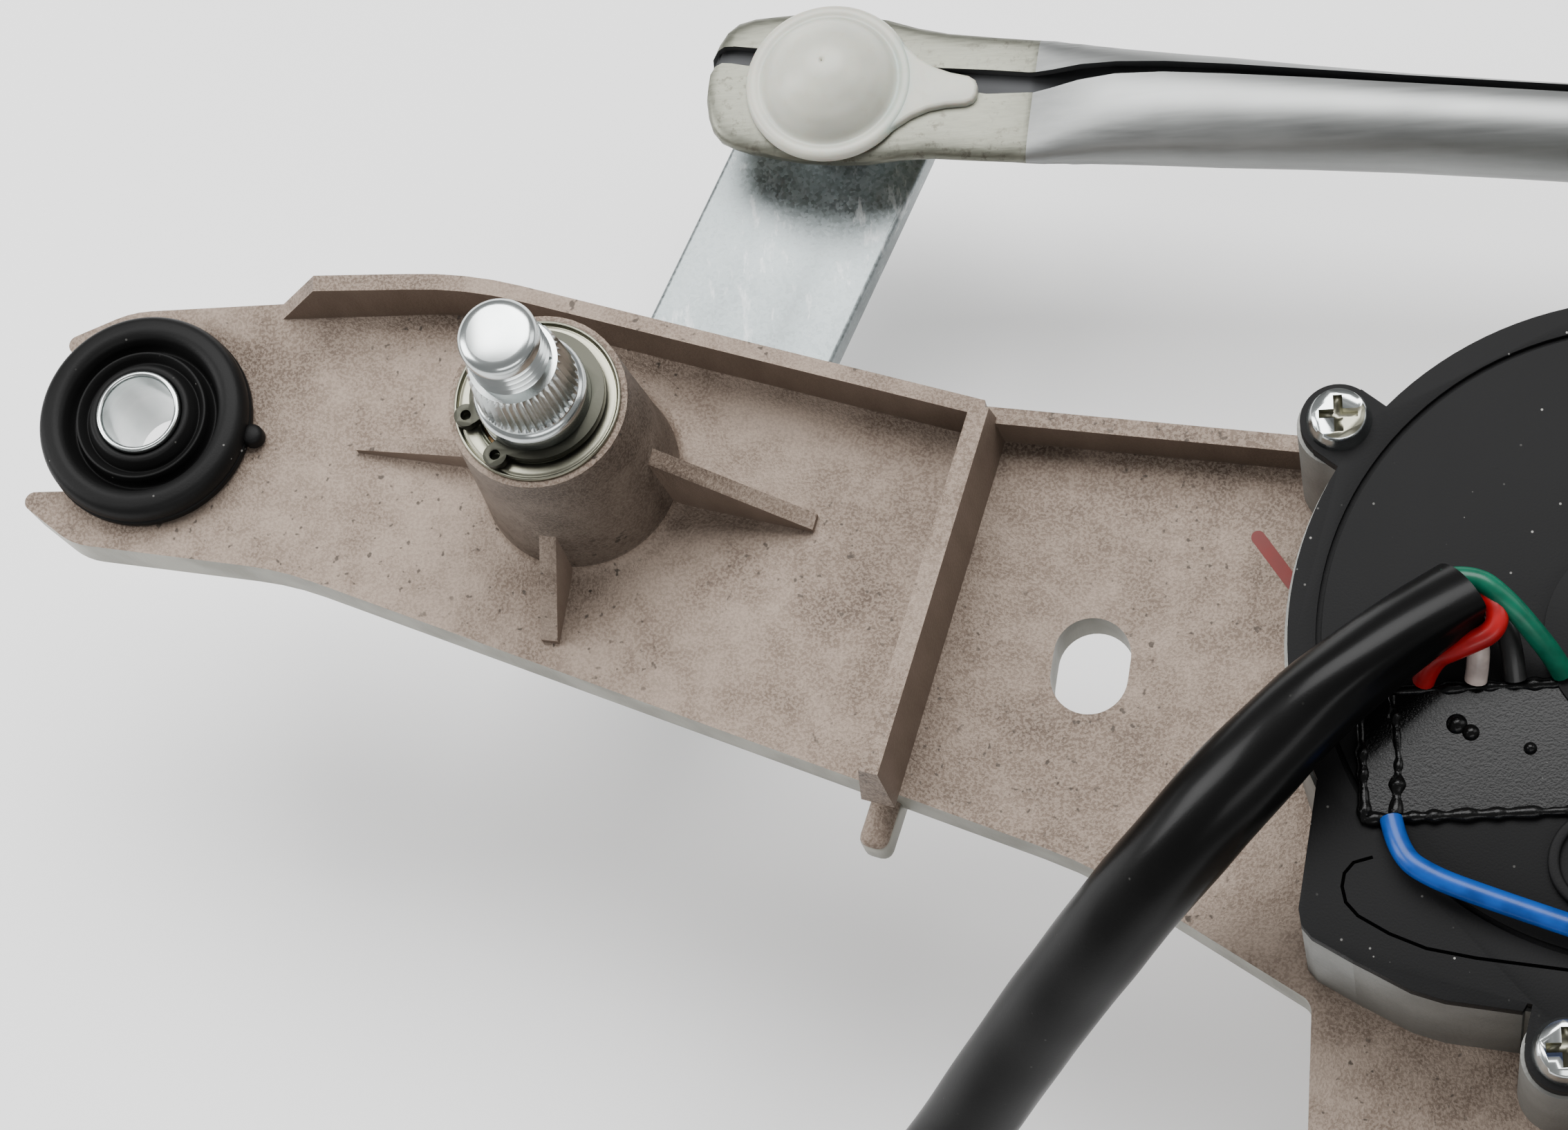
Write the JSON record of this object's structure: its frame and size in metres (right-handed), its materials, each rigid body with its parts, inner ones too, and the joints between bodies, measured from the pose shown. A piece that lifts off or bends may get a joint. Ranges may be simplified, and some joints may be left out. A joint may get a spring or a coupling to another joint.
{
  "type": "windshield wiper linkage with motor",
  "caption": "Cast frame with rubber-mounted fixings, two wiper spindles, ball-jointed pressed links and a worm-geared motor with its cable.",
  "frame": {"origin": "on the axis of the left fixing's bolt sleeve, at the sleeve's lower end", "axes": "+Z along the fixing bores and the spindles, towards the wiper arms' threads; +X along the frame, towards the right spindle"},
  "size_m": [0.4513, 0.2058, 0.1042],
  "materials": {
    "cast_aluminium": "die-cast, fine grain, lightly stained",
    "machined_steel": "bright zinc plate, turned",
    "zinc_plate": "zinc plate with a faint spangle",
    "tube_steel": "satin, drawn along the tube",
    "spring_steel": "dark phosphate, oiled",
    "rubber": "matt black moulded rubber",
    "bronze": "sintered, oil filled",
    "nylon": "natural nylon, greased",
    "cover_plastic": "black moulded plastic with dust specks",
    "potting": "glossy black sealing compound",
    "housing_cast": "light grey die-cast",
    "can_steel": "black painted deep-drawn steel",
    "wheel_plastic": "natural acetal gear",
    "copper": "enamelled copper",
    "laminated_steel": "stacked laminations",
    "magnet": "sintered ferrite",
    "carbon": "graphite",
    "sleeve_vinyl": "glossy black vinyl sleeving",
    "red_wire": "vinyl insulation",
    "green_wire": "vinyl insulation",
    "grey_wire": "vinyl insulation",
    "black_wire": "vinyl insulation",
    "blue_wire": "vinyl insulation",
    "connector_plastic": "natural nylon connector"
  },
  "bodies": {
    "frame": {"frame_casting": "cast_aluminium", "fixing_grommet_left": "rubber", "fixing_grommet_right": "rubber", "fixing_grommet_lower": "rubber", "fixing_sleeve_left": "machined_steel", "fixing_sleeve_right": "machined_steel", "fixing_sleeve_lower": "machined_steel", "pivot_bush_left_upper": "bronze", "pivot_bush_left_lower": "bronze", "pivot_bush_right_upper": "bronze", "pivot_bush_right_lower": "bronze", "cup_washer_left": "machined_steel", "cup_washer_right": "machined_steel", "gearbox_housing": "housing_cast", "gearbox_cover": "cover_plastic", "cover_screws": "machined_steel", "motor_mount_screws": "machined_steel", "terminal_potting": "potting", "output_bush": "bronze", "motor_can": "can_steel", "motor_magnets": "magnet", "motor_end_bearing": "bronze", "motor_front_bearing": "bronze", "brush_holder": "cover_plastic", "carbon_brushes": "carbon", "cable_sleeve": "sleeve_vinyl", "wire_red": "red_wire", "wire_green": "green_wire", "wire_grey": "grey_wire", "wire_black": "black_wire", "wire_blue": "blue_wire", "cable_connector": "connector_plastic"},
    "left_spindle": {"spindle_left": "machined_steel", "circlip_left": "spring_steel", "thrust_washer_left": "machined_steel", "lever_left": "zinc_plate", "ball_stud_left": "machined_steel"},
    "right_spindle": {"spindle_right": "machined_steel", "circlip_right": "spring_steel", "thrust_washer_right": "machined_steel", "lever_right": "zinc_plate", "ball_stud_right": "machined_steel"},
    "connecting_link": {"connecting_link": "tube_steel", "link_socket_left": "nylon", "link_socket_right": "nylon"},
    "crank": {"output_shaft": "machined_steel", "worm_wheel": "wheel_plastic", "crank_arm": "zinc_plate", "crank_nut": "machined_steel", "ball_stud_crank": "machined_steel"},
    "drive_link": {"drive_link": "tube_steel", "drive_socket_crank": "nylon", "drive_socket_lever": "nylon", "ball_stud_drive": "machined_steel"},
    "armature": {"armature_shaft": "machined_steel", "armature_core": "laminated_steel", "armature_windings": "copper", "commutator": "copper"}
  },
  "joints": [
    {"name": "crank_turn", "type": "hinge", "parent": "frame", "child": "crank", "pos_m": [0.1735, -0.0425, 0.02], "axis": [0, 0, 1], "range_deg": [0, 180]},
    {"name": "left_wipe", "type": "hinge", "parent": "frame", "child": "left_spindle", "pos_m": [0.0535, -0.0095, 0.01], "axis": [0, 0, 1], "range_deg": [0, 80]},
    {"name": "right_wipe", "type": "hinge", "parent": "frame", "child": "right_spindle", "pos_m": [0.37039, -0.05404, 0.01], "axis": [0, 0, 1], "range_deg": [0, 80]},
    {"name": "connecting_link_swivel", "type": "hinge", "parent": "left_spindle", "child": "connecting_link", "pos_m": [0.08003, 0.04819, -0.011], "axis": [0, 0, 1], "range_deg": [-80, 0]},
    {"name": "drive_link_swivel", "type": "hinge", "parent": "crank", "child": "drive_link", "pos_m": [0.19909, -0.04, -0.04], "axis": [0, 0, 1], "range_deg": [-180, 0]},
    {"name": "armature_spin", "type": "hinge", "parent": "frame", "child": "armature", "pos_m": [0.16566, -0.07177, 0.02], "axis": [0.9659, -0.2588, 0], "range_deg": [0, 10800]}
  ],
  "couplings": [
    {"joint": "left_wipe", "follows": "crank_turn", "ratio": 0.44444},
    {"joint": "right_wipe", "follows": "crank_turn", "ratio": 0.44444},
    {"joint": "connecting_link_swivel", "follows": "crank_turn", "ratio": -0.44444},
    {"joint": "drive_link_swivel", "follows": "crank_turn", "ratio": -1},
    {"joint": "armature_spin", "follows": "crank_turn", "ratio": 60}
  ]
}
